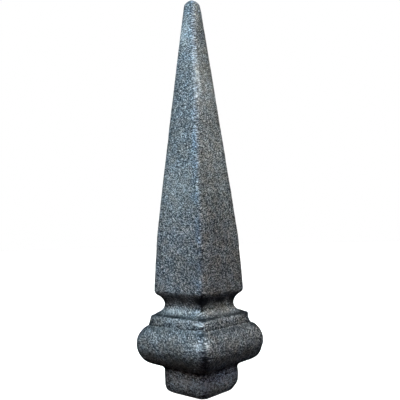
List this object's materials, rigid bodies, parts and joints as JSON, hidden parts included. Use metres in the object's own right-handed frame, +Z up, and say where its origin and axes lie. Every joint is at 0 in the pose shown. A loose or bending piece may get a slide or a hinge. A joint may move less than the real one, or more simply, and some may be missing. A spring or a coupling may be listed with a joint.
{
  "type": "forged fence spike",
  "caption": "Forged steel spike with a square stub, a round bead, a banded waist and a long four-sided blade, for the top of a fence bar.",
  "frame": {"origin": "centre of the flat underside of the square stub", "axes": "+Z up along the spike to its tip, and the four flat sides face +X, -X, +Y and -Y"},
  "size_m": [0.0354, 0.0354, 0.1504],
  "materials": {
    "forged_steel": "bare, dull dark grey, grainy from shot blasting"
  },
  "bodies": {
    "root": {"forged_spike": "forged_steel"}
  },
  "joints": []
}
